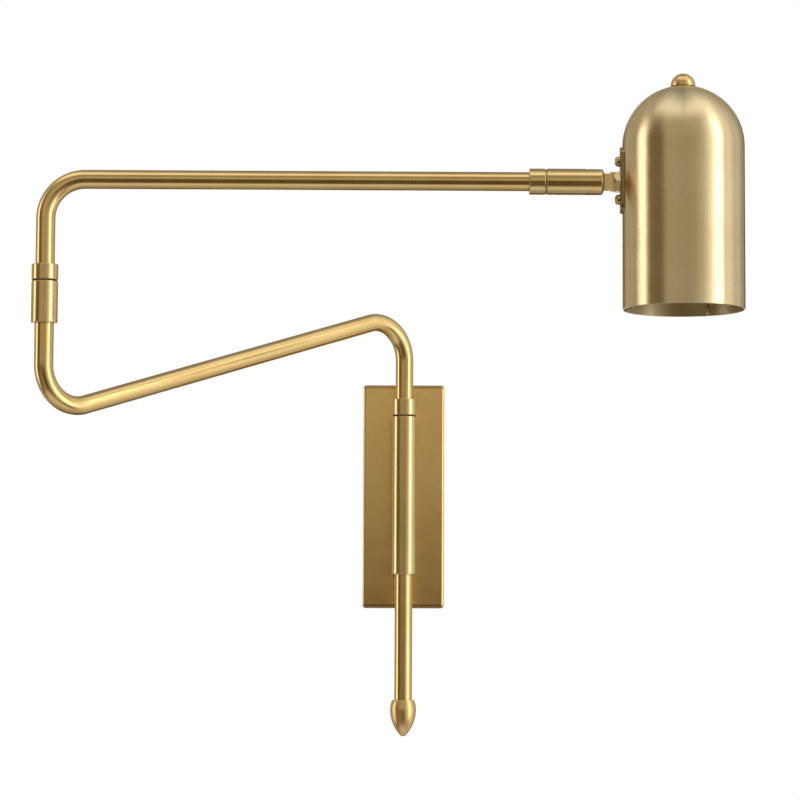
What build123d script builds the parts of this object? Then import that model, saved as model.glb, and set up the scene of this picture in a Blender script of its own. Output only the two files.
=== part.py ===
from build123d import *
import math
import os

# Brass swing-arm wall lamp, in millimetres. A post turns in a sleeve that two studs hold off the wall,
# a bent lower arm carries an elbow joint, and a bent upper arm carries a bell shade on a swivel fork.
# The wall is the plane Y = 0 and the lamp stands out to -Y, with +X to the right and +Z up.
# The origin is the middle of the back plate, on the wall.

# Arm tube
tube_diameter = 12.7
tube_wall = 1.2
bend_radius = 26.0

# Turned joints: collars, sleeves and fork share one outside diameter
joint_diameter = 17.5
joint_edge = 0.6
post_collar_height = 11.8
elbow_collar_height = 10.4
head_collar_height = 10.7
washer_thickness = 0.8
washer_inset = 0.5
bush_length = 15.0
bush_wall = 1.1
bush_relief = 0.5
tube_stop_thickness = 1.5

# Back plate, a shallow pan that hides the bracket
plate_width = 60.0
plate_height = 165.0
plate_depth = 22.0
plate_wall = 1.2
plate_edge = 2.2
plate_least_round = 0.2

# Wall bracket with two ears that take the pan's side screws
bracket_width = 26.0
bracket_height = 134.0
bracket_thickness = 1.5
ear_height = 16.0
ear_depth = 10.0
wall_slot_spacing = 100.0
wall_slot_length = 12.0
wall_slot_width = 4.6
cable_entry_diameter = 12.0
cable_entry_drop = 32.0

# Standoffs between the pan and the sleeve
standoff_diameter = 12.0
standoff_spacing = 66.0
standoff_stud_diameter = 8.0
standoff_bore = 4.4
post_offset = 65.0
stud_nut_across = 13.0
stud_nut_height = 4.0
stud_washer_diameter = 17.0
stud_washer_thickness = 1.2
stud_tail = 1.0

# Post sleeve, and the post's tail below it
sleeve_length = 114.6
sleeve_drop = 1.7
post_tail = 90.4
finial_diameter = 18.6
finial_length = 26.0
finial_top_diameter = 15.6
finial_widest_drop = 7.0
finial_nose_radius = 3.0
finial_plug_length = 12.0
finial_stud_diameter = 6.0
finial_stud_length = 9.0

# Lower arm: the sloping run meets the post axis at the knee and the elbow axis at the heel
lower_arm_reach = 316.0
knee_height = 131.1
heel_height = 37.8
elbow_sleeve_bottom = 99.5
elbow_sleeve_length = 27.7
elbow_tube_depth = 10.0
arm_swing_rest = 41.0
arm_swing_to_left = 38.0
arm_swing_to_right = 136.0

# Upper arm, measured along the arm from the elbow axis
upper_arm_height = 195.2
head_collar_start = 319.0
fork_length = 37.8

# Fork and tilting tongue
fork_nose = 2.2
slot_width = 6.4
slot_cutter_diameter = 40.0
pin_setback = 5.3
pin_diameter = 4.0
pin_head_diameter = 6.0
pin_head_depth = 2.2
pin_head_sunk = 0.8
pin_blind_wall = 1.8
pin_end_clearance = 0.2
tilt_washer_thickness = 0.4
tilt_washer_diameter = 9.0
tongue_length = 15.9
tongue_height = 10.8
tongue_clearance = 1.1
tongue_shoulder_height = 13.0
tongue_shoulder_length = 2.5
lock_nut_across = 13.0
lock_nut_height = 4.0
tongue_stud_diameter = 8.0
tongue_stud_tail = 5.0
fork_passage_diameter = 7.0

# Saddle plate that ties the tongue to the shade
saddle_width = 14.0
saddle_height = 44.0
saddle_rise = 1.0
saddle_corner = 6.0
saddle_thickness = 1.5
saddle_screw_spacing = 25.4
saddle_screw_diameter = 3.5
saddle_screw_tail = 5.0
saddle_head_diameter = 6.8
saddle_head_height = 3.2
saddle_nut_across = 6.0
saddle_nut_height = 2.4

# Shade: a spun bell with a half-round dome
shade_diameter = 81.0
shade_length = 149.3
shade_wall = 1.0
shade_rim_edge = 0.3
dome_spring_rise = 24.0
dome_nut_diameter = 16.4
dome_nut_height = 8.4
dome_nut_undercut = 0.7
nipple_diameter = 10.0
nipple_bore = 7.0
nipple_rise = 5.0

# Lamp holder under the dome, and its bulb
holder_washer_diameter = 18.0
holder_washer_thickness = 1.0
holder_nut_across = 14.0
holder_nut_height = 4.0
holder_neck_diameter = 18.0
holder_neck_length = 9.0
holder_body_diameter = 39.4
holder_cap_length = 22.0
holder_cap_wall = 2.2
holder_skirt = 6.0
holder_overlap = 3.0
holder_shell_length = 29.0
bulb_thread_diameter = 26.4
thread_clearance = 0.2
thread_shell_wall = 0.5
insulator_thickness = 4.0
contact_diameter = 8.0
contact_height = 1.5
bulb_cap_length = 23.0
bulb_cap_wall = 0.6
bulb_cap_round = 2.4
bulb_diameter = 45.0
bulb_glass_wall = 1.0
bulb_neck_diameter = 26.0
bulb_neck_length = 30.0
bulb_neck_blend = 10.0

# Lead inside the arms
lead_diameter = 3.5
lead_clearance = 0.2
lead_window_clearance = 0.9
lead_bend = 5.0
lead_turn_rise = 9.0
lead_gap = 0.8
grommet_length = 5.0

# Set screws
grub_diameter = 3.0
grub_inset = 0.25
grub_socket_across = 1.5
grub_socket_depth = 1.2
groove_width = 2.6
groove_depth = 0.7
dog_diameter = 1.8
dog_clearance = 0.3
side_screw_length = 5.5

# Terminal block and earth screw on the bracket
block_width = 26.0
block_height = 16.0
block_depth = 11.0
block_ways = 3
block_groove = 1.2
block_groove_depth = 3.0
block_drop = 11.0
terminal_screw_diameter = 3.4
earth_screw_diameter = 4.0
earth_head_diameter = 8.0
earth_head_height = 2.6
earth_screw_rise = 24.0
nut_chamfer_share = 0.12
head_round_share = 0.7
recess_share = 0.55
recess_width = 0.9
recess_depth = 1.0

# Fits
running_clearance = 0.05
seat_clearance = 0.05
overcut = 2.0

# Sizes that follow
tube_radius = tube_diameter / 2
tube_bore_radius = tube_radius - tube_wall
joint_radius = joint_diameter / 2
tube_seat_radius = tube_radius + seat_clearance
tube_running_radius = tube_radius + running_clearance
bush_radius = tube_running_radius + bush_wall
bush_seat_radius = bush_radius + seat_clearance
groove_radius = tube_radius - groove_depth
lead_radius = lead_diameter / 2
lead_hole_radius = lead_radius + lead_clearance
grub_radius = grub_diameter / 2
plate_inside = plate_depth - plate_wall
standoff_heights = (standoff_spacing / 2, -standoff_spacing / 2)

sleeve_top = sleeve_length / 2 - sleeve_drop
sleeve_bottom = -sleeve_length / 2 - sleeve_drop
post_collar_bottom = sleeve_top + washer_thickness + 2 * seat_clearance
post_end = sleeve_bottom - post_tail
finial_radius = finial_diameter / 2
nose_below_belly = finial_length - finial_nose_radius - finial_widest_drop
finial_side_radius = (finial_radius ** 2 + nose_below_belly ** 2 - finial_nose_radius ** 2) / 2
finial_side_radius /= finial_radius - finial_nose_radius
nose_share = finial_side_radius / (finial_side_radius - finial_nose_radius)

elbow_sleeve_top = elbow_sleeve_bottom + elbow_sleeve_length
elbow_stop_bottom = elbow_sleeve_bottom + elbow_tube_depth + seat_clearance
elbow_stop_top = elbow_stop_bottom + tube_stop_thickness
upper_tube_foot = elbow_stop_top + bush_relief
elbow_collar_bottom = elbow_sleeve_top + washer_thickness + 2 * seat_clearance
elbow_x = -lower_arm_reach * math.cos(math.radians(arm_swing_rest))
elbow_y = -post_offset - lower_arm_reach * math.sin(math.radians(arm_swing_rest))

fork_start = head_collar_start + head_collar_height + washer_thickness + 2 * seat_clearance
fork_end = fork_start + fork_length
pin_reach = fork_end - pin_setback
pin_radius = pin_diameter / 2
cutter_radius = slot_cutter_diameter / 2
cutter_sag = cutter_radius - math.sqrt(cutter_radius ** 2 - joint_radius ** 2)
slot_floor = pin_reach - tongue_height / 2 - tongue_clearance - cutter_sag
upper_tube_end = fork_start + bush_length - bush_relief
tongue_thickness = slot_width - 2 * (tilt_washer_thickness + 2 * running_clearance)

shade_radius = shade_diameter / 2
shade_inside = shade_radius - shade_wall
dome_centre = upper_arm_height + dome_spring_rise
dome_top = dome_centre + shade_radius
rim_height = dome_top - shade_length
saddle_inside = shade_radius + seat_clearance
saddle_outside = saddle_inside + saddle_thickness
shade_reach = pin_reach + tongue_length + saddle_outside
lock_nut_start = shade_reach - saddle_outside - lock_nut_height - seat_clearance
shoulder_start = lock_nut_start - tongue_shoulder_length

# Axes of the joints: each carries its own pieces along local Z
post = Pos(0, -post_offset, 0)
elbow = Pos(elbow_x, elbow_y, 0)
upper_run = Pos(elbow_x, elbow_y, upper_arm_height) * Rot(0, 90, 0)
shade_axis = Pos(elbow_x + shade_reach, elbow_y, 0)
from_wall = Rot(90, 0, 0)
to_wall = Rot(-90, 0, 0)
to_arm = Rot(0, -90, 0)

nodes = {}


def rod(radius, low, high):
    """Round bar about Z between two heights."""
    return Pos(0, 0, low) * Cylinder(radius, high - low, align=(Align.CENTER, Align.CENTER, Align.MIN))


def turned(*outline):
    """Solid of revolution about Z, from its (radius, height) corners."""
    return revolve(Plane.XZ * make_face(Polyline(*outline, close=True)), Axis.Z)


def ring(outer, inner, low, high):
    """Plain ring about Z between two heights."""
    return turned((inner, low), (outer, low), (outer, high), (inner, high))


def rounded_rod(radius, low, high, low_edge, high_edge):
    """Round bar about Z with its two end edges rounded."""
    bar = rod(radius, low, high)
    bar = fillet(bar.edges().filter_by(GeomType.CIRCLE).sort_by(Axis.Z)[-1], high_edge)
    return fillet(bar.edges().filter_by(GeomType.CIRCLE).sort_by(Axis.Z)[0], low_edge)


def hexagon_nut(across, hole_radius, low, high):
    """Hexagon nut about Z, its corners chamfered on the side that shows."""
    blank = extrude(RegularPolygon(across / 2, 6, major_radius=False) - Circle(hole_radius), high - low)
    corner = across / math.sqrt(3)
    cone = turned((0, low - overcut), (corner, low - overcut), (corner, high - nut_chamfer_share * across),
                  (0.5 * across, high), (0, high))
    return (Pos(0, 0, low) * blank) & cone


def cross_screw(head_radius, head_height, shank_radius, tail, seat):
    """Round-head screw along Z with a cross recess, its head on the seat and its shank behind it."""
    head = rod(head_radius, seat, seat + head_height)
    head = fillet(head.edges().filter_by(GeomType.CIRCLE).sort_by(Axis.Z)[-1],
                  head_round_share * min(head_radius, head_height))
    recess = Box(2 * recess_share * head_radius, recess_width, 2 * recess_depth)
    recess += Rot(0, 0, 90) * recess
    return head - Pos(0, 0, seat + head_height) * recess + rod(shank_radius, seat - tail, seat)


def grub_screw(near, far):
    """Set screw along Z with a key socket in its outer end."""
    key = extrude(RegularPolygon(grub_socket_across / 2, 6, major_radius=False), grub_socket_depth + overcut)
    return rod(grub_radius, near, far) - Pos(0, 0, far - grub_socket_depth) * key


def retaining_screw():
    """Set screw along Z whose dog point runs in the groove of the tube that turns."""
    shoulder = tube_running_radius + dog_clearance
    dog = rod(dog_diameter / 2, groove_radius + dog_clearance, shoulder)
    return grub_screw(shoulder, joint_radius - grub_inset) + dog


def grub_hole(near):
    """Threaded hole along Z from inside a ring to its outside."""
    return rod(grub_radius + seat_clearance, near, joint_radius + overcut)


def at_back(height, piece):
    """A piece that lies along Z, turned to point from the axis to the wall at a height."""
    return Pos(0, 0, height) * to_wall * piece


def clamp_collar(low, high):
    """Turned ring on the arm tube, with its set screw hole at the back."""
    collar = rounded_rod(joint_radius, low, high, joint_edge, joint_edge)
    collar -= rod(tube_seat_radius, low - overcut, high + overcut)
    return collar - at_back((low + high) / 2, grub_hole(0))


def clamp_screw(low, high):
    """Set screw that holds a collar on its tube."""
    return at_back((low + high) / 2, grub_screw(tube_seat_radius, joint_radius - grub_inset))


def friction_washer(low):
    """Thin dark washer between a collar and the sleeve that it turns on."""
    return ring(joint_radius - washer_inset, tube_running_radius, low, low + washer_thickness)


def groove(height):
    """Retaining groove to cut round a tube."""
    low = height - groove_width / 2
    return ring(tube_radius + overcut, groove_radius, low, low + groove_width)


def bent_tube(path, start):
    """Round tube along a path that leaves its start straight up."""
    bore = sweep(Pos(*start) * Circle(tube_bore_radius), path=path)
    return sweep(Pos(*start) * Circle(tube_radius), path=path) - bore


def lead_along(path, start):
    """Round lead along a path, from its start section."""
    return sweep(start * Circle(lead_radius), path=path)


def grommet(low):
    """Plastic ring in the mouth of a tube, which carries the lead."""
    return ring(tube_bore_radius - seat_clearance, lead_hole_radius, low, low + grommet_length)


# Wall bracket: a pressed strip with slots for the wall screws, and a cross piece with two ears
ear_face = plate_width / 2 - plate_wall - 2 * seat_clearance
on_wall = (Align.CENTER, Align.MAX, Align.CENTER)
side_screw_depth = ear_depth / 2 + bracket_thickness / 2
bracket = Box(bracket_width, bracket_thickness, bracket_height, align=on_wall)
bracket += Box(2 * ear_face, bracket_thickness, ear_height, align=on_wall)
for side in (1, -1):
    ear = Box(bracket_thickness, ear_depth, ear_height, align=on_wall)
    bracket += Pos(side * (ear_face - bracket_thickness / 2), 0, 0) * ear
    wall_slot = Pos(0, side * wall_slot_spacing / 2) * SlotOverall(wall_slot_length, wall_slot_width, 90)
    bracket -= extrude(Plane.XZ * wall_slot, bracket_thickness + overcut, both=True)
side_hole = rod(grub_radius + seat_clearance, -plate_width, plate_width)
bracket -= Pos(0, -side_screw_depth, 0) * Rot(0, 90, 0) * side_hole
bracket -= Pos(0, 0, -cable_entry_drop) * from_wall * rod(cable_entry_diameter / 2, -overcut, plate_depth)
earth_place = Pos(0, 0, earth_screw_rise) * from_wall
bracket -= earth_place * rod(earth_screw_diameter / 2 + seat_clearance, -overcut, plate_depth)
nodes["wall_bracket"] = bracket
earth_screw = cross_screw(earth_head_diameter / 2, earth_head_height, earth_screw_diameter / 2,
                          bracket_thickness, bracket_thickness)
nodes["earth_screw"] = earth_place * earth_screw

# Back plate: a pan pressed from sheet, with rounded front edges and holes for the studs and side screws
def pressed_block(width, depth, height, edge):
    """Block on the wall with its four corners and its front edges rounded."""
    block = Box(width, depth, height, align=on_wall)
    return fillet(block.edges().filter_by(Axis.Y) + block.faces().sort_by(Axis.Y)[0].edges(), edge)


pan = pressed_block(plate_width, plate_depth, plate_height, plate_edge)
pan -= pressed_block(plate_width - 2 * plate_wall, plate_inside, plate_height - 2 * plate_wall,
                     max(plate_edge - plate_wall, plate_least_round))
for height in standoff_heights:
    pan_hole = rod(standoff_stud_diameter / 2 + seat_clearance, plate_inside - overcut, plate_depth + overcut)
    pan -= Pos(0, 0, height) * from_wall * pan_hole
pan -= Pos(0, -side_screw_depth, 0) * Rot(0, 90, 0) * side_hole
nodes["back_plate"] = pan

# Side screws: flush set screws through the pan into the bracket's ears
side_screw = grub_screw(plate_width / 2 - grub_inset - side_screw_length, plate_width / 2 - grub_inset)
nodes["back_plate_screws"] = Compound([
    Pos(0, -side_screw_depth, 0) * Rot(0, turn, 0) * side_screw for turn in (90, -90)])

# Pivot sleeve: a turned tube with a bush at each end, a lead hole and a retaining screw at the back
sleeve = rounded_rod(joint_radius, sleeve_bottom, sleeve_top, joint_edge, joint_edge)
sleeve -= rod(bush_radius - bush_relief, sleeve_bottom - overcut, sleeve_top + overcut)
sleeve -= rod(bush_seat_radius, sleeve_top - bush_length, sleeve_top + overcut)
sleeve -= rod(bush_seat_radius, sleeve_bottom - overcut, sleeve_bottom + bush_length)
sleeve -= at_back(standoff_heights[0], rod(standoff_bore / 2, 0, joint_radius + overcut))
sleeve -= at_back(-sleeve_drop, grub_hole(0))
nodes["pivot_sleeve"] = post * sleeve
sleeve_bush = ring(bush_radius, tube_running_radius, 0, bush_length)
nodes["sleeve_bushes"] = Compound([
    post * Pos(0, 0, height) * sleeve_bush for height in (sleeve_top - bush_length, sleeve_bottom)])
nodes["sleeve_retaining_screw"] = post * at_back(-sleeve_drop, retaining_screw())

# Standoffs: turned studs, coped to the sleeve, with threaded tails through the pan; the upper one is bored
stud_end = plate_inside - stud_washer_thickness - stud_nut_height - stud_tail
standoff = rod(standoff_diameter / 2, plate_depth, post_offset)
standoff += rod(standoff_stud_diameter / 2, stud_end, plate_depth)
cope = post * rod(joint_radius, sleeve_bottom - overcut, sleeve_top + overcut)
upper_standoff = standoff - rod(standoff_bore / 2, stud_end - overcut, post_offset + overcut)
for name, piece, height in (("upper_standoff", upper_standoff, standoff_heights[0]),
                            ("lower_standoff", standoff, standoff_heights[1])):
    nodes[name] = Pos(0, 0, height) * from_wall * piece - cope
stud_washer = ring(stud_washer_diameter / 2, standoff_stud_diameter / 2 + seat_clearance,
                   plate_inside - stud_washer_thickness, plate_inside)
nut_top = plate_inside - stud_washer_thickness
stud_nut = hexagon_nut(stud_nut_across, standoff_stud_diameter / 2 + seat_clearance, 0, stud_nut_height)
stud_nut = Pos(0, 0, nut_top) * Rot(180, 0, 0) * stud_nut
nodes["standoff_washers"] = Compound([
    Pos(0, 0, height) * from_wall * stud_washer for height in standoff_heights])
nodes["standoff_nuts"] = Compound([
    Pos(0, 0, height) * from_wall * stud_nut for height in standoff_heights])

# Terminal block on the bracket: three ways with a groove between each, wire holes and clamping screws
way_pitch = block_width / block_ways
ways = [(index - (block_ways - 1) / 2) * way_pitch for index in range(block_ways)]
block_place = Pos(0, -bracket_thickness, -block_drop)
block = Box(block_width, block_depth, block_height, align=on_wall)
for way in ways:
    block -= Pos(way, -block_depth / 2, 0) * rod(lead_hole_radius, -block_height, block_height)
    terminal_hole = rod(terminal_screw_diameter / 2 + seat_clearance, block_depth / 2, block_depth + overcut)
    block -= Pos(way, 0, 0) * from_wall * terminal_hole
for left, right in zip(ways, ways[1:]):
    cut = Box(block_groove, 2 * block_groove_depth, block_height + overcut)
    block -= Pos((left + right) / 2, -block_depth, 0) * cut
nodes["terminal_block"] = block_place * block
terminal_screw_tip = block_depth / 2 + lead_radius + seat_clearance
terminal_screw = rod(terminal_screw_diameter / 2, terminal_screw_tip, block_depth)
terminal_screw -= Pos(0, 0, block_depth) * Box(2 * terminal_screw_diameter, recess_width, 2 * recess_depth)
nodes["terminal_screws"] = Compound([
    block_place * Pos(way, 0, 0) * from_wall * terminal_screw for way in ways])

# Supply lead: up out of the terminal block, through the upper standoff and up the post's axis
lead_depth = bracket_thickness + block_depth / 2
lead_turn_top = standoff_heights[0] + lead_turn_rise
supply_path = Plane.YZ * FilletPolyline(
    (-lead_depth, -block_drop), (-lead_depth, standoff_heights[0]), (-post_offset, standoff_heights[0]),
    (-post_offset, lead_turn_top), radius=lead_bend)
nodes["supply_lead"] = lead_along(supply_path, Pos(0, -lead_depth, -block_drop))

# Lower arm: one bent tube from the finial up through the sleeve, down the slope and up to the elbow
arm_path = Plane.XZ * FilletPolyline(
    (0, post_end), (0, knee_height), (-lower_arm_reach, heel_height),
    (-lower_arm_reach, elbow_sleeve_bottom + elbow_tube_depth), radius=bend_radius)
lower_tube = post * Rot(0, 0, arm_swing_rest) * bent_tube(arm_path, (0, 0, post_end))
lower_tube -= post * groove(-sleeve_drop)
window_half = math.degrees(math.asin((lead_radius + lead_window_clearance) / tube_bore_radius))
window_start = 90 - arm_swing_to_right - window_half
window_span = arm_swing_to_left + arm_swing_to_right + 2 * window_half
window_face = Rectangle(tube_radius, 2 * (lead_radius + lead_window_clearance))
window_face = Plane.XZ * Pos(tube_radius, standoff_heights[0]) * window_face
window = Rot(0, 0, window_start) * revolve(window_face, Axis.Z, window_span)
nodes["lower_arm_tube"] = lower_tube - post * window

# Post collar, its set screw and the friction washer that carries the arm on the sleeve
post_collar_top = post_collar_bottom + post_collar_height
nodes["post_collar"] = post * clamp_collar(post_collar_bottom, post_collar_top)
nodes["post_collar_screw"] = post * clamp_screw(post_collar_bottom, post_collar_top)
nodes["post_washer"] = post * friction_washer(sleeve_top + seat_clearance)

# Finial: a turned acorn on a threaded plug in the foot of the post
acorn_shoulder = (finial_top_diameter / 2, 0)
acorn_belly = (finial_radius, -finial_widest_drop)
acorn_nose = ((finial_side_radius - finial_radius) * (nose_share - 1),
              -finial_widest_drop - nose_below_belly * nose_share)
acorn_tip = (0, -finial_length)
acorn_outline = Line(acorn_tip, (0, 0)) + Line((0, 0), acorn_shoulder)
acorn_outline += TangentArc(acorn_belly, acorn_shoulder, tangent=(0, 1))
acorn_outline += TangentArc(acorn_belly, acorn_nose, tangent=(0, -1))
acorn_outline += TangentArc(acorn_tip, acorn_nose, tangent=(1, 0))
acorn = revolve(Plane.XZ * make_face(acorn_outline), Axis.Z)
finial_stud_radius = finial_stud_diameter / 2
acorn -= rod(finial_stud_radius + seat_clearance, -finial_stud_length - seat_clearance, overcut)
nodes["finial"] = post * Pos(0, 0, post_end) * acorn
plug = rod(tube_bore_radius - seat_clearance, 0, finial_plug_length)
plug += rod(finial_stud_radius, -finial_stud_length, 0)
nodes["finial_plug"] = post * Pos(0, 0, post_end) * plug

# Elbow sleeve: brazed on the lower tube, with a bush that the upper tube turns in
elbow_sleeve = rounded_rod(joint_radius, elbow_sleeve_bottom, elbow_sleeve_top, joint_edge, joint_edge)
elbow_sleeve -= rod(tube_seat_radius, elbow_sleeve_bottom - overcut, elbow_stop_bottom)
elbow_sleeve -= rod(tube_bore_radius, elbow_stop_bottom - overcut, elbow_stop_top + overcut)
elbow_sleeve -= rod(bush_seat_radius, elbow_stop_top, elbow_sleeve_top + overcut)
elbow_screw_height = (elbow_stop_top + elbow_sleeve_top) / 2
elbow_sleeve -= at_back(elbow_screw_height, grub_hole(0))
nodes["elbow_sleeve"] = elbow * elbow_sleeve
elbow_bush = ring(bush_radius, tube_running_radius, elbow_stop_top, elbow_sleeve_top)
nodes["elbow_bush"] = elbow * (elbow_bush - at_back(elbow_screw_height, grub_hole(0)))
nodes["elbow_retaining_screw"] = elbow * at_back(elbow_screw_height, retaining_screw())

# Lead in the lower arm, on the tube's axis, and the grommet that carries it at the elbow
lower_lead_path = Plane.XZ * FilletPolyline(
    (0, lead_turn_top), (0, knee_height), (-lower_arm_reach, heel_height),
    (-lower_arm_reach, elbow_stop_top), radius=bend_radius)
lower_lead = lead_along(lower_lead_path, Pos(0, 0, lead_turn_top))
nodes["lower_arm_lead"] = post * Rot(0, 0, arm_swing_rest) * lower_lead
nodes["lower_arm_grommet"] = elbow * grommet(elbow_stop_bottom - seat_clearance - grommet_length)

# Upper arm: one bent tube from the elbow to the fork, grooved at both ends
head_groove = (fork_start + upper_tube_end) / 2
upper_path = Plane.XZ * FilletPolyline(
    (0, upper_tube_foot), (0, upper_arm_height), (upper_tube_end, upper_arm_height), radius=bend_radius)
upper_tube = elbow * (bent_tube(upper_path, (0, 0, upper_tube_foot)) - groove(elbow_screw_height))
nodes["upper_arm_tube"] = upper_tube - upper_run * groove(head_groove)
elbow_collar_top = elbow_collar_bottom + elbow_collar_height
nodes["elbow_collar"] = elbow * clamp_collar(elbow_collar_bottom, elbow_collar_top)
nodes["elbow_collar_screw"] = elbow * clamp_screw(elbow_collar_bottom, elbow_collar_top)
nodes["elbow_washer"] = elbow * friction_washer(elbow_sleeve_top + seat_clearance)
head_collar_end = head_collar_start + head_collar_height
nodes["head_collar"] = upper_run * clamp_collar(head_collar_start, head_collar_end)
nodes["head_collar_screw"] = upper_run * clamp_screw(head_collar_start, head_collar_end)
nodes["head_washer"] = upper_run * friction_washer(head_collar_end + seat_clearance)

# Lead in the upper arm, and a grommet in each mouth of the tube
upper_lead_path = Plane.XZ * FilletPolyline(
    (0, elbow_stop_top), (0, upper_arm_height), (slot_floor - overcut, upper_arm_height), radius=bend_radius)
nodes["upper_arm_lead"] = elbow * lead_along(upper_lead_path, Pos(0, 0, elbow_stop_top))
nodes["upper_arm_grommets"] = Compound([
    elbow * grommet(upper_tube_foot), upper_run * grommet(upper_tube_end - grommet_length)])

# Fork: turned on the arm's axis, bored for its bush and the lead, and slotted by a disc cutter for the tongue
fork = rounded_rod(joint_radius, fork_start, fork_end, joint_edge, fork_nose)
fork -= rod(bush_seat_radius, fork_start - overcut, fork_start + bush_length)
fork -= rod(fork_passage_diameter / 2, fork_start, slot_floor + overcut)
fork -= Pos(0, 0, slot_floor + cutter_radius) * to_wall * Cylinder(cutter_radius, slot_width)
pin_tip = pin_blind_wall - joint_radius
pin_seat = joint_radius - pin_head_sunk - pin_head_depth
fork -= at_back(pin_reach, rod(pin_radius + seat_clearance, pin_tip, joint_radius + overcut))
fork -= at_back(pin_reach, rod(pin_head_diameter / 2 + pin_end_clearance, pin_seat, joint_radius + overcut))
nodes["fork"] = upper_run * (fork - at_back(head_groove, grub_hole(0)))
fork_bush = ring(bush_radius, tube_running_radius, fork_start, fork_start + bush_length)
nodes["fork_bush"] = upper_run * (fork_bush - at_back(head_groove, grub_hole(0)))
nodes["fork_retaining_screw"] = upper_run * at_back(head_groove, retaining_screw())

# Tilt screw from the back cheek to a blind thread in the front one, and the two washers that grip the tongue
pin_length = pin_seat - pin_tip - pin_end_clearance
tilt_screw = cross_screw(pin_head_diameter / 2, pin_head_depth, pin_radius, pin_length, pin_seat)
nodes["tilt_screw"] = upper_run * at_back(pin_reach, tilt_screw)
washer_inner_face = tongue_thickness / 2 + running_clearance
tilt_washer = ring(tilt_washer_diameter / 2, pin_radius + running_clearance,
                   washer_inner_face, washer_inner_face + tilt_washer_thickness)
nodes["tilt_washers"] = Compound([
    upper_run * at_back(pin_reach, Rot(turn, 0, 0) * tilt_washer) for turn in (0, 180)])

# Tongue: a flat knuckle with a round end on the pin, a shoulder and a bored stud that screws into the saddle
stud_inner_end = shade_reach - shade_inside + tongue_stud_tail
blade_face = Pos(0, pin_reach) * Circle(tongue_height / 2)
blade_face += Pos(0, (pin_reach + lock_nut_start) / 2) * Rectangle(tongue_height, lock_nut_start - pin_reach)
blade_face += Pos(0, (shoulder_start + lock_nut_start) / 2) * RectangleRounded(
    tongue_shoulder_height, tongue_shoulder_length, joint_edge)
tongue = extrude(Plane.XZ * blade_face, tongue_thickness / 2, both=True)
tongue += rod(tongue_stud_diameter / 2, lock_nut_start, stud_inner_end)
tongue -= at_back(pin_reach, rod(pin_radius + running_clearance, -joint_radius, joint_radius))
lead_exit = fork_end + lead_hole_radius
tongue -= rod(lead_hole_radius, lead_exit, stud_inner_end + overcut)
tongue -= Pos(0, 0, lead_exit) * Rot(0, 90, 0) * rod(lead_hole_radius, 0, joint_radius)
nodes["tongue"] = upper_run * tongue
stud_hole_radius = tongue_stud_diameter / 2 + seat_clearance
lock_nut = hexagon_nut(lock_nut_across, stud_hole_radius, 0, lock_nut_height)
lock_nut_end = lock_nut_start + lock_nut_height
nodes["tongue_lock_nut"] = upper_run * Pos(0, 0, lock_nut_end) * Rot(180, 0, 30) * lock_nut

# Saddle plate: pressed to the shade's round, with rounded corners, and its screws and nuts
saddle_middle = upper_arm_height + saddle_rise
screw_heights = [saddle_middle + side * saddle_screw_spacing / 2 for side in (1, -1)]
saddle_reach = saddle_outside + overcut
saddle_top = saddle_middle + saddle_height / 2
saddle = ring(saddle_outside, saddle_inside, saddle_top - saddle_height - overcut, saddle_top + overcut)
oblong = Plane.YZ * Pos(0, saddle_middle) * RectangleRounded(saddle_width, saddle_height, saddle_corner)
saddle &= extrude(oblong, -saddle_reach)
screw_hole = rod(saddle_screw_diameter / 2 + seat_clearance, 0, saddle_reach)
stud_hole = rod(stud_hole_radius, 0, saddle_reach)
side_holes = Pos(0, 0, upper_arm_height) * to_arm * stud_hole
for height in screw_heights:
    side_holes += Pos(0, 0, height) * to_arm * screw_hole
nodes["saddle_plate"] = shade_axis * (saddle - side_holes)
saddle_screw = cross_screw(saddle_head_diameter / 2, saddle_head_height, saddle_screw_diameter / 2,
                           saddle_screw_tail + saddle_thickness, saddle_outside + seat_clearance)
nodes["saddle_screws"] = Compound([
    shade_axis * Pos(0, 0, height) * to_arm * saddle_screw for height in screw_heights])
nut_corner = saddle_nut_across / math.sqrt(3)
nut_seat = math.sqrt(shade_inside ** 2 - nut_corner ** 2) - seat_clearance
saddle_nut = Rot(180, 0, 0) * hexagon_nut(
    saddle_nut_across, saddle_screw_diameter / 2 + seat_clearance, 0, saddle_nut_height)
nodes["saddle_nuts"] = Compound([
    shade_axis * Pos(0, 0, height) * to_arm * Pos(0, 0, nut_seat) * saddle_nut for height in screw_heights])

# Shade: a bell spun from sheet, open below, with a hole at the top for the nipple and three in its side
nipple_hole = nipple_diameter / 2 + seat_clearance


def dome_height(radius, offset):
    """Height of a dome of the given radius above a point offset from its axis."""
    return dome_centre + math.sqrt(radius ** 2 - offset ** 2)


def dome_arc(radius):
    """Arc of a dome from its foot to the nipple hole."""
    half_way = math.radians(45)
    middle = (radius * math.cos(half_way), dome_centre + radius * math.sin(half_way))
    return ThreePointArc((radius, dome_centre), middle, (nipple_hole, dome_height(radius, nipple_hole)))


bell_outline = Line((shade_inside, rim_height), (shade_radius, rim_height))
bell_outline += Line((shade_radius, rim_height), (shade_radius, dome_centre)) + dome_arc(shade_radius)
bell_outline += Line((nipple_hole, dome_height(shade_radius, nipple_hole)),
                     (nipple_hole, dome_height(shade_inside, nipple_hole)))
bell_outline += dome_arc(shade_inside) + Line((shade_inside, dome_centre), (shade_inside, rim_height))
bell = revolve(Plane.XZ * make_face(bell_outline), Axis.Z)
bell = fillet(bell.edges().filter_by(GeomType.CIRCLE).group_by(Axis.Z)[0], shade_rim_edge)
nodes["shade"] = shade_axis * (bell - side_holes)

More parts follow.
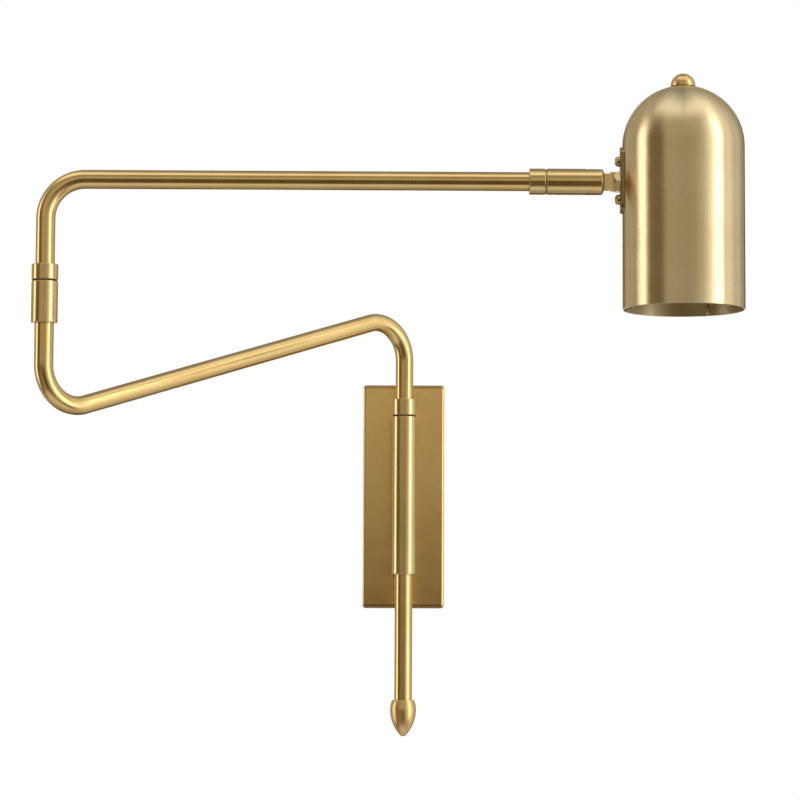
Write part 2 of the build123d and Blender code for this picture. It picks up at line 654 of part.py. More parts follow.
# Dome nut: a blind round-top nut, bevelled under its edge and hollowed to sit on the dome
nut_radius = dome_nut_diameter / 2
nut_foot = dome_height(shade_radius, nut_radius)
nut_waist = dome_top + dome_nut_height - nut_radius
dome_nut = rod(nut_radius, nut_foot, nut_waist)
dome_nut += Pos(0, 0, nut_waist) * Sphere(nut_radius)
dome_nut -= turned((nut_radius - dome_nut_undercut - overcut, nut_foot - overcut),
                   (nut_radius + overcut, nut_foot - overcut),
                   (nut_radius + overcut, nut_foot + dome_nut_undercut + overcut))
dome_nut -= Pos(0, 0, dome_centre) * Sphere(shade_radius + seat_clearance)
dome_nut -= rod(nipple_hole, dome_top - overcut, dome_top + nipple_rise)
nodes["dome_nut"] = shade_axis * dome_nut

# Lamp holder: washer, lock nut and cap on the threaded nipple, then the shell, thread sleeve and contact
washer_top = dome_height(shade_inside, holder_washer_diameter / 2) - seat_clearance
washer_foot = washer_top - holder_washer_thickness
cap_top = washer_foot - holder_nut_height - 2 * seat_clearance
neck_foot = cap_top - holder_neck_length
cap_foot = cap_top - holder_cap_length
shell_foot = cap_foot - holder_shell_length
neck_radius = holder_neck_diameter / 2
cap_radius = holder_body_diameter / 2 - seat_clearance - holder_cap_wall / 2
nodes["holder_washer"] = shade_axis * ring(holder_washer_diameter / 2, nipple_hole, washer_foot, washer_top)
holder_nut = hexagon_nut(holder_nut_across, nipple_hole, 0, holder_nut_height)
holder_nut = Pos(0, 0, washer_foot - seat_clearance) * Rot(180, 0, 0) * holder_nut
nodes["holder_lock_nut"] = shade_axis * holder_nut
nodes["holder_nipple"] = shade_axis * ring(
    nipple_diameter / 2, nipple_bore / 2, neck_foot + seat_clearance, dome_top + nipple_rise - seat_clearance)
lead_entry = (cap_top + neck_foot) / 2
skirt_top = cap_foot + holder_skirt
skirt_bore = cap_radius - holder_cap_wall
cap_ceiling = neck_foot - holder_cap_wall
holder_cap = turned(
    (nipple_hole, cap_top), (neck_radius, cap_top), (neck_radius, neck_foot), (cap_radius, skirt_top),
    (cap_radius, cap_foot), (skirt_bore, cap_foot), (skirt_bore, skirt_top),
    (neck_radius - holder_cap_wall, cap_ceiling), (nipple_hole, cap_ceiling))
lead_socket = (nipple_hole + neck_radius) / 2
cap_hole = rod(lead_hole_radius, lead_socket - seat_clearance, shade_inside)
holder_cap -= Pos(0, 0, lead_entry) * to_arm * cap_hole
nodes["holder_cap"] = shade_axis * holder_cap
thread_outside = bulb_thread_diameter / 2 + thread_clearance + thread_shell_wall
shell_bore = thread_outside + seat_clearance
shell_radius = holder_body_diameter / 2
nodes["holder_shell"] = shade_axis * turned(
    (cap_radius + seat_clearance, cap_foot + holder_overlap), (shell_radius, cap_foot + holder_overlap),
    (shell_radius, shell_foot), (shell_bore, shell_foot), (shell_bore, cap_foot - seat_clearance),
    (cap_radius + seat_clearance, cap_foot - seat_clearance))
insulator_foot = cap_foot - seat_clearance - insulator_thickness
contact_foot = insulator_foot - contact_height
nodes["holder_insulator"] = shade_axis * rod(thread_outside, insulator_foot, cap_foot - seat_clearance)
nodes["holder_contact"] = shade_axis * rod(contact_diameter / 2, contact_foot, insulator_foot)
nodes["holder_thread"] = shade_axis * ring(
    thread_outside, thread_outside - thread_shell_wall, shell_foot, insulator_foot)

# Bulb: a screw cap up against the contact, and a round glass with a blended neck
bulb_cap_top = contact_foot - seat_clearance
glass_top = bulb_cap_top - bulb_cap_length
bulb_centre = glass_top - bulb_neck_length


def globe(radius, neck_radius):
    """Ball with a straight neck up from its centre, blended where they meet."""
    blank = Pos(0, 0, bulb_centre) * Sphere(radius) + rod(neck_radius, bulb_centre, glass_top)
    rings = blank.edges().filter_by(GeomType.CIRCLE)
    seam = rings.filter_by(lambda edge: abs(edge.radius - neck_radius) < 0.01).sort_by(Axis.Z)[0]
    return fillet(seam, bulb_neck_blend)


glass_neck = bulb_neck_diameter / 2
bulb_cap = rounded_rod(bulb_thread_diameter / 2, glass_top, bulb_cap_top, joint_edge, bulb_cap_round)
bulb_cap_bore = bulb_thread_diameter / 2 - bulb_cap_wall
bulb_cap -= rounded_rod(
    bulb_cap_bore, glass_top - overcut, bulb_cap_top - bulb_cap_wall, joint_edge, bulb_cap_round)
nodes["bulb_cap"] = shade_axis * bulb_cap
bulb_inside = globe(bulb_diameter / 2 - bulb_glass_wall, glass_neck - bulb_glass_wall)
nodes["bulb_glass"] = shade_axis * (globe(bulb_diameter / 2, glass_neck) - bulb_inside)

# Lead in the head, from the bore of the tongue's stud up to the side of the holder's neck
head_lead_start = shade_reach - lock_nut_start
lead_rise = shell_radius + lead_gap + lead_radius
head_lead_path = Plane.XZ * FilletPolyline(
    (-head_lead_start, upper_arm_height), (-lead_rise, upper_arm_height), (-lead_rise, lead_entry),
    (-lead_socket, lead_entry), radius=lead_bend)
head_section = Pos(-head_lead_start, 0, upper_arm_height) * Rot(0, 90, 0)
nodes["head_lead"] = shade_axis * lead_along(head_lead_path, head_section)

os.makedirs("parts", exist_ok=True)
for name, piece in nodes.items():
    export_step(piece, f"parts/{name}.step")
print(len(nodes), "nodes")
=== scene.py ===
import math

import bpy
import numpy as np
from mathutils import Matrix, Vector


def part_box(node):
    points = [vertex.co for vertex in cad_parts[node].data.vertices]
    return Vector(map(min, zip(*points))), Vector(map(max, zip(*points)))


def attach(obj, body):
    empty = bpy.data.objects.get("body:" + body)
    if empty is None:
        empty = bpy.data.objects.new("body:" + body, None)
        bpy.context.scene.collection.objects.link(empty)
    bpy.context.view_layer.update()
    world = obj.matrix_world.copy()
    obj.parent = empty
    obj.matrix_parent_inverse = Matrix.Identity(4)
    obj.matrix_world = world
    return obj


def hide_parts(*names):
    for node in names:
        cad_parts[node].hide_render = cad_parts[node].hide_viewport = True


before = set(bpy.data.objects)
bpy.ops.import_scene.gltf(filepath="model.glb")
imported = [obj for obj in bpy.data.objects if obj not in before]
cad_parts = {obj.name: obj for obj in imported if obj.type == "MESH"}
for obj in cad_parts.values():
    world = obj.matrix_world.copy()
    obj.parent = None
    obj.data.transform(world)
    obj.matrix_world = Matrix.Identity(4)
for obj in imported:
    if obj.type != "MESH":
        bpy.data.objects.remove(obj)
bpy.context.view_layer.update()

# Wall bracket, with the nuts and washers behind the pan and the fittings inside the shade: pressed and
# turned steel, zinc plated. The bracket is screwed to the wall first. The plating is a little cloudy, with
# fine rolling marks.


def put(tree, kind, sockets=None, **settings):
    """Adds one shader node. Settings are its properties, and sockets gives its inputs: a value is set
    there, and another node's output is linked."""
    made = tree.nodes.new("ShaderNode" + kind)
    for key, value in settings.items():
        setattr(made, key, value)
    for key, value in (sockets or {}).items():
        if isinstance(value, bpy.types.NodeSocket):
            tree.links.new(value, made.inputs[key])
        else:
            made.inputs[key].default_value = value
    return made


def start_finish(name):
    """A new material, its node tree, its surface shader and the object coordinates, in metres."""
    finish = bpy.data.materials.new(name)
    finish.use_nodes = True
    tree = finish.node_tree
    place = put(tree, "TexCoord").outputs["Object"]
    return finish, tree, tree.nodes["Principled BSDF"], place


def grain(tree, place, *stretch, detail=2.0):
    """Noise from 0 to 1 whose cells are 1/stretch metres along each axis."""
    scaled = put(tree, "Mapping", {"Vector": place, "Scale": stretch}).outputs["Vector"]
    return put(tree, "TexNoise", {"Vector": scaled, "Scale": 1.0, "Detail": detail}).outputs["Fac"]


def between(tree, value, low, high, start=0.3, end=0.7):
    """A number that goes from low to high as the value goes from start to end."""
    sockets = {"Value": value, "From Min": start, "From Max": end, "To Min": low, "To Max": high}
    return put(tree, "MapRange", sockets).outputs["Result"]


def tone(tree, value, *stops):
    """A colour that goes through (position, colour) stops as the value goes from 0 to 1."""
    made = put(tree, "ValToRGB", {"Fac": value})
    band = made.color_ramp.elements
    band[1].position = 1.0
    while len(band) < len(stops):
        band.new(0.5)
    for element, (position, colour) in zip(band, stops):
        element.position = position
        element.color = (*colour, 1.0)
    return made.outputs["Color"]


def over(tree, share, below, above):
    """One colour laid over another, by a share from 0 to 1."""
    return put(tree, "Mix", {0: share, 6: below, 7: (*above, 1.0)}, data_type="RGBA").outputs[2]


def relief(tree, height, depth, below=None):
    """A normal bent by a height from 0 to 1 that stands depth metres high, on top of any relief below."""
    sockets = {"Height": height, "Distance": depth, "Strength": 1.0}
    if below is not None:
        sockets["Normal"] = below
    return put(tree, "Bump", sockets).outputs["Normal"]


def rubbed(tree, radius):
    """Share of rubbing: 1 where the surface turns sharply within the radius, 0 on plain faces."""
    rounded = put(tree, "Bevel", {"Radius": radius}, samples=4).outputs["Normal"]
    flat = put(tree, "NewGeometry").outputs["Normal"]
    turn = put(tree, "VectorMath", {0: rounded, 1: flat}, operation="DOT_PRODUCT").outputs["Value"]
    return between(tree, turn, 1.0, 0.0, 0.80, 0.985)


def cover(finish, *names):
    """Gives CAD nodes a finish, in the material slots that they came with."""
    for name in names:
        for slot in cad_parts[name].material_slots:
            slot.material = finish


zinc, tree, surface, place = start_finish("zinc_plate")
cloud = grain(tree, place, 90, 90, 90, detail=4.0)
rolling = grain(tree, place, 2500, 2500, 60)
plating = tone(tree, cloud, (0.30, (0.50, 0.52, 0.54)), (0.55, (0.62, 0.63, 0.63)),
               (0.75, (0.68, 0.67, 0.60)))
bright = over(tree, rubbed(tree, 0.0003), plating, (0.78, 0.78, 0.76))
surface.inputs["Metallic"].default_value = 1.0
tree.links.new(bright, surface.inputs["Base Color"])
tree.links.new(between(tree, cloud, 0.28, 0.46), surface.inputs["Roughness"])
tree.links.new(relief(tree, rolling, 0.00001), surface.inputs["Normal"])
cover(zinc, "wall_bracket", "standoff_nuts", "standoff_washers", "saddle_nuts", "holder_nipple",
      "holder_washer", "holder_lock_nut", "bulb_cap")

# Bushes, grommets and the terminal block: natural nylon, injection moulded, pressed into the turned brass.
# The surface has the fine spark texture of the mould and a faint warm mottling.

nylon, tree, surface, place = start_finish("natural_nylon")
cloud = grain(tree, place, 160, 160, 160, detail=3.0)
spark = grain(tree, place, 3500, 3500, 3500)
mottle = tone(tree, cloud, (0.30, (0.74, 0.71, 0.62)), (0.70, (0.84, 0.82, 0.76)))
tree.links.new(mottle, surface.inputs["Base Color"])
tree.links.new(between(tree, spark, 0.38, 0.55), surface.inputs["Roughness"])
tree.links.new(relief(tree, spark, 0.00002), surface.inputs["Normal"])
surface.inputs["Subsurface Weight"].default_value = 0.15
surface.inputs["Subsurface Scale"].default_value = 0.002
cover(nylon, "sleeve_bushes", "elbow_bush", "fork_bush", "lower_arm_grommet", "upper_arm_grommets",
      "terminal_block")

# Back plate: a shallow pan drawn from brass sheet, brushed up and down and lacquered.
# It drops over the bracket and two flush set screws hold it at the sides. A few small scuffs catch the
# light, the top and bottom bends carry painted shade in dark brown, and the rim is duller than the face.


def brass(name, lines, roughness, colour=(0.84, 0.585, 0.235), variation=0.04, contrast=0.15,
          depth=0.000003, wave=0.00006):
    """Lacquered brass. The tone drifts in slow clouds, tool lines show in colour, gloss and height, rubbed
    edges are brighter, and corners and joints carry painted shade in dark brown, found by ambient occlusion,
    which stands in for their contact shadow as well as a little tarnish. lines(tree, place) gives the tool
    lines."""
    finish, tree, surface, place = start_finish(name)
    cloud = grain(tree, place, 28, 28, 28, detail=3.0)
    line = lines(tree, place)
    corner_shade = put(tree, "AmbientOcclusion", {"Distance": 0.0025}, samples=4).outputs["AO"]
    deep = tuple(part * share for part, share in zip(colour, (0.95, 0.92, 0.87)))
    pale = tuple(part * share for part, share in zip(colour, (1.04, 1.06, 1.12)))
    metal = tone(tree, cloud, (0.28, deep), (0.52, colour), (0.78, pale))
    metal = over(tree, between(tree, line, 0.0, contrast), metal, tuple(0.8 * part for part in deep))
    # Painted shade: corners and joints that ambient occlusion finds close in are laid over with dark brown.
    metal = over(tree, between(tree, corner_shade, 0.85, 0.0, 0.25, 0.80), metal, (0.28, 0.17, 0.06))
    metal = over(tree, rubbed(tree, 0.0004), metal, (0.90, 0.71, 0.40))
    gloss = put(tree, "Math", {0: line, 1: cloud}, operation="ADD").outputs["Value"]
    surface.inputs["Metallic"].default_value = 1.0
    tree.links.new(metal, surface.inputs["Base Color"])
    tree.links.new(between(tree, gloss, roughness - variation, roughness + variation, 0.7, 1.3),
                   surface.inputs["Roughness"])
    drift = relief(tree, grain(tree, place, 70, 70, 70, detail=1.0), wave)
    tree.links.new(relief(tree, line, depth, drift), surface.inputs["Normal"])
    surface.inputs["Coat Weight"].default_value = 0.3
    surface.inputs["Coat Roughness"].default_value = 0.12
    return finish


def repaint(finish, share, colour):
    """Lays a colour over what a finish has so far, by a share from 0 to 1."""
    tree = finish.node_tree
    socket = tree.nodes["Principled BSDF"].inputs["Base Color"]
    tree.links.new(over(tree, share, socket.links[0].from_socket, colour), socket)


def roughen(finish, share, roughness):
    """Takes a finish's roughness to a value, by a share from 0 to 1."""
    tree = finish.node_tree
    socket = tree.nodes["Principled BSDF"].inputs["Roughness"]
    mixed = put(tree, "Mix", {0: share, 2: socket.links[0].from_socket, 3: roughness}).outputs[0]
    tree.links.new(mixed, socket)


def brushed_upright(tree, place):
    """Long scratches up and down: cells 0.3 mm wide and 60 mm tall."""
    return grain(tree, place, 3000, 3000, 16)


def inset(tree, place, axis):
    """Depth below the pan's outer faces along an axis, in metres."""
    low, high = (getattr(corner, axis.lower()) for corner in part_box("back_plate"))
    along = put(tree, "SeparateXYZ", {"Vector": place}).outputs[axis]
    from_middle = put(tree, "Math", {0: along, 1: (low + high) / 2}, operation="SUBTRACT").outputs["Value"]
    from_middle = put(tree, "Math", {0: from_middle}, operation="ABSOLUTE").outputs["Value"]
    return put(tree, "Math", {0: (high - low) / 2, 1: from_middle}, operation="SUBTRACT").outputs["Value"]


plate_brass = brass("brass_brushed_plate", brushed_upright, 0.17, colour=(0.85, 0.58, 0.218),
                    variation=0.02, contrast=0.08, depth=0.0000015, wave=0.00003)
tree = plate_brass.node_tree
surface = tree.nodes["Principled BSDF"]
across = put(tree, "CombineXYZ", {"X": 1.0, "Y": 0.02}).outputs["Vector"]
tree.links.new(across, surface.inputs["Tangent"])
surface.inputs["Anisotropic"].default_value = 0.7
place = put(tree, "TexCoord").outputs["Object"]
ripple = grain(tree, place, 60, 60, 800, detail=1.0)
off_line = put(tree, "Math", {0: ripple, 1: 0.5}, operation="SUBTRACT").outputs["Value"]
off_line = put(tree, "Math", {0: off_line}, operation="ABSOLUTE").outputs["Value"]
patch = between(tree, grain(tree, place, 42, 42, 42, detail=0.0), 0.0, 0.5, 0.66, 0.72)
scratch = between(tree, off_line, 1.0, 0.0, 0.0, 0.02)
scuff = put(tree, "Math", {0: scratch, 1: patch}, operation="MULTIPLY").outputs["Value"]
repaint(plate_brass, scuff, (0.96, 0.82, 0.54))
from_ends = inset(tree, place, "Z")
from_sides = inset(tree, place, "X")
# Painted shade: the top and bottom bends, within a few millimetres of the ends, go dark brown.
repaint(plate_brass, between(tree, from_ends, 1.0, 0.0, 0.0008, 0.0032), (0.34, 0.20, 0.055))
dull_ends = between(tree, from_ends, 1.0, 0.0, 0.0002, 0.0010)
dull_sides = between(tree, from_sides, 1.0, 0.0, 0.0001, 0.0006)
rim = put(tree, "Math", {0: dull_ends, 1: dull_sides}, operation="MAXIMUM").outputs["Value"]
roughen(plate_brass, rim, 0.5)
cover(plate_brass, "back_plate")

# Turned joints: the post sleeve, studs, collars, elbow sleeve and fork, cut from brass bar on the lathe.
# Fine tool lines run round each piece, so the light spreads along its axis and stays crisp across it.
# The post sleeve has a finish of its own, with painted shade in dark brown on its back, towards the wall.


def lathe_lines(axis):
    """Rings round an axis: cells 0.25 mm long along it and 80 mm wide across it."""
    stretch = [4000 if axis == letter else 12 for letter in "XYZ"]

    def lines(tree, place):
        return grain(tree, place, *stretch)
    return lines


def spread_along(finish, axis, amount):
    """Turns the shader's tangent a quarter from the ring direction, so gloss spreads along the axis."""
    tree = finish.node_tree
    surface = tree.nodes["Principled BSDF"]
    tangent = put(tree, "Tangent", direction_type="RADIAL", axis=axis).outputs["Tangent"]
    tree.links.new(tangent, surface.inputs["Tangent"])
    surface.inputs["Anisotropic"].default_value = amount
    surface.inputs["Anisotropic Rotation"].default_value = 0.25


def turned_brass(name, axis):
    """Brass with lathe lines round an axis."""
    finish = brass(name, lathe_lines(axis), 0.24, colour=(0.82, 0.595, 0.262), contrast=0.10)
    spread_along(finish, axis, 0.6)
    return finish


sleeve_brass = turned_brass("brass_turned_sleeve", "Z")
tree = sleeve_brass.node_tree
facing = put(tree, "TexCoord").outputs["Normal"]
wall_side_shade = put(tree, "SeparateXYZ", {"Vector": facing}).outputs["Y"]
# Painted shade: the sleeve's back, facing the wall, goes dark brown, so its reflection in the plate looks
# dark.
repaint(sleeve_brass, between(tree, wall_side_shade, 0.0, 0.9, 0.25, 0.85), (0.16, 0.10, 0.035))
cover(sleeve_brass, "pivot_sleeve")

turned_pieces = {
    "Z": ("post_collar", "elbow_sleeve", "elbow_collar", "finial_plug"),
    "Y": ("upper_standoff", "lower_standoff"),
    "X": ("head_collar", "fork", "tongue"),
}
for axis, names in turned_pieces.items():
    cover(turned_brass("brass_turned_" + axis, axis), *names)

# Set screws and the tilt screw: blackened steel with a hexagon socket.
# The edges are rubbed bright by the key.

black_steel, tree, surface, place = start_finish("blackened_steel")
cloud = grain(tree, place, 700, 700, 700, detail=3.0)
oxide = tone(tree, cloud, (0.30, (0.05, 0.048, 0.046)), (0.70, (0.12, 0.11, 0.10)))
surface.inputs["Metallic"].default_value = 1.0
tree.links.new(over(tree, rubbed(tree, 0.0002), oxide, (0.45, 0.43, 0.40)), surface.inputs["Base Color"])
tree.links.new(between(tree, cloud, 0.34, 0.52), surface.inputs["Roughness"])
tree.links.new(relief(tree, cloud, 0.00001), surface.inputs["Normal"])
cover(black_steel, "back_plate_screws", "sleeve_retaining_screw", "post_collar_screw",
      "elbow_retaining_screw", "elbow_collar_screw", "head_collar_screw", "fork_retaining_screw",
      "tilt_screw")

# Friction washers: dark vulcanised fibre, punched from sheet. One sits under each upright collar and two
# in the fork. The head collar has a brass one.


def speckled(name, fineness, detail, dark, pale, gloss, depth):
    """A finish whose colour, roughness and height all follow one noise, with cells of 1/fineness metres.
    dark and pale are its two (position, colour) stops, and gloss its lowest and highest roughness."""
    finish, tree, surface, place = start_finish(name)
    speck = grain(tree, place, fineness, fineness, fineness, detail=detail)
    tree.links.new(tone(tree, speck, dark, pale), surface.inputs["Base Color"])
    tree.links.new(between(tree, speck, *gloss), surface.inputs["Roughness"])
    tree.links.new(relief(tree, speck, depth), surface.inputs["Normal"])
    return finish


fibre = speckled("dark_fibre", fineness=2200, detail=4.0, dark=(0.30, (0.045, 0.026, 0.010)),
                 pale=(0.70, (0.10, 0.058, 0.024)), gloss=(0.60, 0.85), depth=0.00004)
fibre.node_tree.nodes["Principled BSDF"].inputs["Specular IOR Level"].default_value = 0.2
cover(fibre, "post_washer", "elbow_washer", "tilt_washers")

# Arms: half-inch brass tube, belt polished round and round before it was bent, then lacquered.
# Each is carried along its bends with its own map, so that the polishing lines and the gloss follow them.
# The lower one has a window inside the post sleeve, where the lead comes in from the upper stud.

tube_radius = 0.00635
tube_wall = 0.0012
bend_radius = 0.026
knee_height = 0.1311
heel_height = 0.0378
elbow_tube_top = 0.1095
groove_half = 0.0013
groove_depth = 0.0007
window_half = 0.00265
window_start = math.radians(-77)
window_end = math.radians(159)
ring_step = 0.002
sides = 48
edge_step = 0.00004


def middle(node):
    """Middle of a CAD node's box."""
    low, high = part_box(node)
    return np.array((low + high) / 2)


def bent_axis(corners, marks):
    """Points, directions and lengths along straight runs with round bends, with extra points at the marks.

    A bend that turns by t starts bend_radius * tan(t / 2) before its corner. From there the axis is
    start + bend_radius * (sin a * forward + (1 - cos a) * inward), for a from 0 to t.
    """
    corners = np.array(corners)
    runs = np.diff(corners, axis=0)
    spans = np.linalg.norm(runs, axis=1)
    ways = runs / spans[:, None]
    turns = np.arccos((ways[:-1] * ways[1:]).sum(axis=1))
    cuts = np.concatenate([[0.0], bend_radius * np.tan(turns / 2), [0.0]])
    straights = spans - cuts[:-1] - cuts[1:]
    arcs = np.append(bend_radius * turns, 0.0)
    starts = np.append(0.0, np.cumsum(straights + arcs))
    marks = [mark % starts[-1] for mark in marks]
    lengths = np.union1d(np.arange(0.0, starts[-1], ring_step), np.append(marks, starts[-1]))
    points = np.empty((len(lengths), 3))
    directions = np.empty((len(lengths), 3))
    for run, forward in enumerate(ways):
        along = lengths - starts[run]
        begin = corners[run] + cuts[run] * forward
        straight = along >= 0.0
        points[straight] = begin + along[straight, None] * forward
        directions[straight] = forward
        if run < len(turns):
            onward = ways[run + 1]
            inward = (onward - (forward @ onward) * forward) / math.sin(turns[run])
            bend = along > straights[run]
            turned = (along[bend, None] - straights[run]) / bend_radius
            points[bend] = begin + straights[run] * forward
            points[bend] += bend_radius * (np.sin(turned) * forward + (1 - np.cos(turned)) * inward)
            directions[bend] = np.cos(turned) * forward + np.sin(turned) * inward
    return points, directions, lengths


def bent_tube(name, corners, grooves, marks=()):
    """Skin of a tube along a bent axis, cut in by a groove at each of the given lengths.

    A ring stands square to the axis: point + radius * (cos v * flat + sin v * up), where flat is square to
    the plane of the bends and up is flat x direction. The map runs along the tube in U and round it in V.
    """
    ends = [edge_step, -edge_step]
    for groove in grooves:
        ends += [groove + side * groove_half + step for side in (-1, 1) for step in (-edge_step, edge_step)]
    points, directions, lengths = bent_axis(corners, [*ends, *marks])
    flat = np.cross(directions[0], directions[len(lengths) // 2])
    flat /= np.linalg.norm(flat)
    up = np.cross(flat, directions)
    places = np.array(grooves) % lengths[-1]
    cut = (np.abs(lengths[:, None] - places) < groove_half).any(axis=1)
    radius = np.where(cut, tube_radius - groove_depth, tube_radius)
    angle = np.linspace(0.0, 2 * math.pi, sides, endpoint=False)
    spokes = np.cos(angle)[:, None] * flat + np.sin(angle)[:, None] * up[:, None, :]
    grid = points[:, None, :] + radius[:, None, None] * spokes
    ring, side = np.meshgrid(np.arange(len(lengths) - 1), np.arange(sides), indexing="ij")
    rings = np.stack([ring, ring + 1, ring + 1, ring], axis=-1).reshape(-1, 4)
    turns = np.stack([side, side, side + 1, side + 1], axis=-1).reshape(-1, 4)
    faces = rings * sides + turns % sides
    chart = np.stack([lengths[rings], turns * (2 * math.pi * tube_radius / sides)], axis=-1)
    return name, grid.reshape(-1, 3), faces, chart


def tube_piece(name, points, faces, chart):
    """Turns a tube's skin into a piece with the tube's wall inside it."""
    mesh = bpy.data.meshes.new(name)
    mesh.from_pydata(points.tolist(), [], faces.tolist())
    mesh.uv_layers.new(name="run").uv.foreach_set("vector", chart.reshape(-1))
    mesh.shade_smooth()
    piece = bpy.data.objects.new(name, mesh)
    bpy.context.scene.collection.objects.link(piece)
    wall = piece.modifiers.new("wall", "SOLIDIFY")
    wall.thickness = tube_wall
    wall.offset = -1.0
    mesh.materials.append(tube_brass)
    return piece


def polishing_rings(tree, place):
    """Rings round the tube: cells 0.25 mm long and 40 mm round, on the tube's own map."""
    chart = put(tree, "UVMap", uv_map="run").outputs["UV"]
    return grain(tree, chart, 4000, 25, 1)


tube_brass = brass("brass_tube", polishing_rings, 0.22, contrast=0.08, depth=0.000001)
tree = tube_brass.node_tree
surface = tree.nodes["Principled BSDF"]
along = put(tree, "Tangent", direction_type="UV_MAP", uv_map="run").outputs["Tangent"]
tree.links.new(along, surface.inputs["Tangent"])
surface.inputs["Anisotropic"].default_value = 0.6

post_axis = middle("pivot_sleeve")[:2]
elbow_axis = middle("elbow_sleeve")[:2]
post_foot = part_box("lower_arm_tube")[0].z
window_height = middle("upper_standoff")[2]
window_marks = [window_height - window_half - post_foot, window_height + window_half - post_foot]
lower_corners = [(*post_axis, post_foot), (*post_axis, knee_height),
                 (*elbow_axis, heel_height), (*elbow_axis, elbow_tube_top)]
post_groove = middle("sleeve_retaining_screw")[2] - post_foot
name, points, faces, chart = bent_tube("lower_arm_bent_tube", lower_corners, [post_groove], window_marks)
face_middle = points[faces].mean(axis=1)
facing = np.arctan2(face_middle[:, 1] - post_axis[1], face_middle[:, 0] - post_axis[0])
at_window = (np.abs(face_middle[:, 2] - window_height) < window_half)
at_window &= (facing > window_start) & (facing < window_end)
lower_tube = tube_piece(name, points, faces[~at_window], chart[~at_window])
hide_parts("lower_arm_tube")
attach(lower_tube, "lower_arm")

upper_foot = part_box("upper_arm_tube")[0].z
upper_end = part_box("upper_arm_tube")[1].x
arm_height = middle("fork")[2]
upper_corners = [(*elbow_axis, upper_foot), (*elbow_axis, arm_height),
                 (upper_end, elbow_axis[1], arm_height)]
upper_grooves = [middle("elbow_retaining_screw")[2] - upper_foot,
                 middle("fork_retaining_screw")[0] - upper_end]
upper_tube = tube_piece(*bent_tube("upper_arm_bent_tube", upper_corners, upper_grooves))
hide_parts("upper_arm_tube")
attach(upper_tube, "upper_arm")

# Finial and dome nut: turned from bar to a round end and rubbed satin with fine paper on the lathe.
# The finial screws to a plug in the post, and the nut closes the top of the shade.

satin = brass("brass_satin_ends", lathe_lines("Z"), 0.34, contrast=0.10, depth=0.000001, wave=0.00003)
cover(satin, "finial", "dome_nut")

# Lock nut and saddle screws: brass fasteners, bought in and tumbled smooth, then darkened with handling.
# The nut locks the tongue's stud at the saddle plate, and the two screws hold the plate to the shade's side.

tumbled = brass("brass_tumbled", lathe_lines("X"), 0.26, colour=(0.62, 0.45, 0.21), contrast=0.10,
                depth=0.000001, wave=0.00003)
cover(tumbled, "tongue_lock_nut", "saddle_screws")

# Small pressed brass, browned: the saddle plate that is screwed to the shade, the head washer, and the
# holder's contact and thread with the screws of the wiring.

pressed = brass("brass_pressed", brushed_upright, 0.34, colour=(0.36, 0.25, 0.10))
cover(pressed, "saddle_plate", "head_washer", "holder_contact", "holder_thread", "terminal_screws",
      "earth_screw")

# Shade: a bell of brass sheet, rolled, brazed and spun over a form, then brushed on the lathe and lacquered.
# The brushing runs in rings right up the dome, so each highlight runs up to the crown in a fan. The inside
# is left as it came off the form, browner and duller.

shade_low, shade_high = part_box("shade")
shade_centre = (shade_low + shade_high) / 2


def spinning_rings(tree, place):
    """Rings round the shade's axis, told apart by height less radius, which falls from crown to rim."""
    centred = put(tree, "Mapping", {"Vector": place, "Location": (-shade_centre.x, -shade_centre.y, 0)})
    flat = put(tree, "VectorMath", {0: centred.outputs["Vector"], 1: (1.0, 1.0, 0.0)}, operation="MULTIPLY")
    radius = put(tree, "VectorMath", {0: flat.outputs["Vector"]}, operation="LENGTH").outputs["Value"]
    height = put(tree, "SeparateXYZ", {"Vector": centred.outputs["Vector"]}).outputs["Z"]
    along = put(tree, "Math", {0: height, 1: radius}, operation="SUBTRACT").outputs["Value"]
    ring = put(tree, "CombineXYZ", {"X": along}).outputs["Vector"]
    return grain(tree, ring, 3000, 1, 1, detail=3.0)


shade_brass = brass("brass_spun_shade", spinning_rings, 0.28, colour=(0.87, 0.69, 0.39), variation=0.03)
spread_along(shade_brass, "Z", 0.85)
tree = shade_brass.node_tree
place = put(tree, "TexCoord").outputs["Object"]
from_middle = put(tree, "VectorMath", {0: place, 1: shade_centre}, operation="SUBTRACT").outputs["Vector"]
facing = put(tree, "NewGeometry").outputs["Normal"]
outward = put(tree, "VectorMath", {0: from_middle, 1: facing}, operation="DOT_PRODUCT").outputs["Value"]
inside = between(tree, outward, 1.0, 0.0, -0.005, 0.0)
repaint(shade_brass, inside, (0.74, 0.58, 0.33))
roughen(shade_brass, inside, 0.45)
cover(shade_brass, "shade")

# Seam of the shade: the body is closed by a brazed seam that runs up the inside, at the back.
# The filed-down bead of braze is uneven, and its lower half is in the wall.

brazing = brass("brass_brazing", lathe_lines("Z"), 0.32, colour=(0.82, 0.66, 0.40))
seam_heading = math.radians(29.5)
seam_half = 0.0011
seam_height = 0.0008
shade_wall = 0.001
inner_radius = (shade_high.x - shade_low.x) / 2 - shade_wall
dome_spring = shade_high.z - inner_radius - shade_wall
bead_rings = 220
bead_sides = 12


def braze_bead(along, round_angle):
    """A bead up the wall: an ellipse about a line on the wall, seam_half across and seam_height deep, that
    swells and wanders by slow sines of the height and narrows to nothing at both ends."""
    end_gap = 0.0005
    height = shade_low.z + end_gap + along * (dome_spring - shade_low.z - 2 * end_gap)
    swell = 1 + 0.18 * np.sin(along * 61) + 0.10 * np.sin(along * 147 + 1)
    swell = swell * np.minimum(1.0, np.sqrt(np.minimum(along, 1 - along) * 60))
    wander = 0.0003 * np.sin(along * 23) + 0.0001 * np.sin(along * 83)
    heading = seam_heading + (wander + seam_half * swell * np.cos(round_angle)) / inner_radius
    radius = inner_radius - seam_height * swell * np.sin(round_angle)
    across = shade_centre.x + radius * np.sin(heading)
    back = shade_centre.y + radius * np.cos(heading)
    return np.stack([across, back, height], axis=-1)


